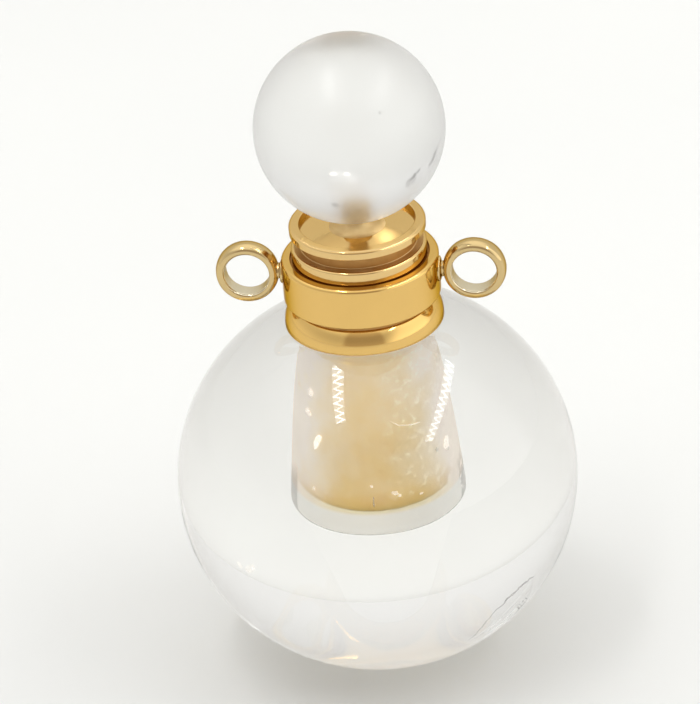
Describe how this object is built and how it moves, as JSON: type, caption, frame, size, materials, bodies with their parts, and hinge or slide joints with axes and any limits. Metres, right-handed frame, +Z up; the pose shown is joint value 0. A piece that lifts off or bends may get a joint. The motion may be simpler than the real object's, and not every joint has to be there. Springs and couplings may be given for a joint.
{
  "type": "bottle pendant",
  "caption": "Round clear quartz bottle worn as a pendant, with a gold-toned turned collar, side loops and a stopper that carries a quartz ball.",
  "frame": {"origin": "middle of the ground flat that the bottle stands on", "axes": "+Z up along the bottle's axis to the stopper's ball, side loops along X with their holes along Y"},
  "size_m": [0.02, 0.02, 0.0333],
  "materials": {
    "quartz": "polished",
    "gold_metal": "polished, gold plated"
  },
  "bodies": {
    "bottle": {"bottle_body": "quartz", "liner_cup": "gold_metal", "neck_collar": "gold_metal"},
    "stopper": {"stopper_cap": "gold_metal", "stopper_ball": "quartz"}
  },
  "joints": [
    {"name": "stopper_lift", "type": "slide", "parent": "bottle", "child": "stopper", "axis": [0, 0, 1], "range_m": [0, 0.008]}
  ]
}
